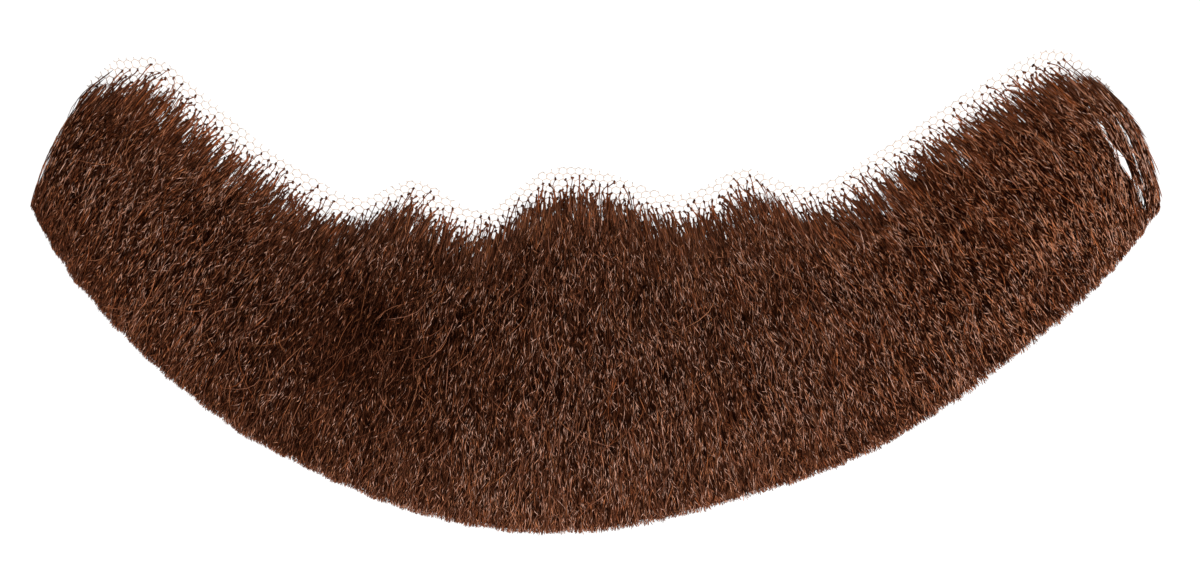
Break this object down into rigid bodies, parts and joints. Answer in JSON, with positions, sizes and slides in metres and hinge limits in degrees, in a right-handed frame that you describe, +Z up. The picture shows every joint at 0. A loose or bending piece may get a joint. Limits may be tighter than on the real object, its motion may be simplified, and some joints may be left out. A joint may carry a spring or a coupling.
{
  "type": "fake beard",
  "caption": "False beard of brown hair knotted into a scalloped lace net, a curved band from sideburn to sideburn that is glued to a face for costume or stage.",
  "frame": {"origin": "middle of the footprint, on the surface that the beard lies on, which is the glued side of the lace", "axes": "+X towards the sideburn on the right of the view, +Y towards the mouth edge, +Z up out of the hair"},
  "size_m": [0.293, 0.1264, 0.0173],
  "materials": {
    "lace": "matte",
    "hair": "satin"
  },
  "bodies": {
    "root": {"lace_net": "lace", "hair": "hair"}
  },
  "joints": []
}
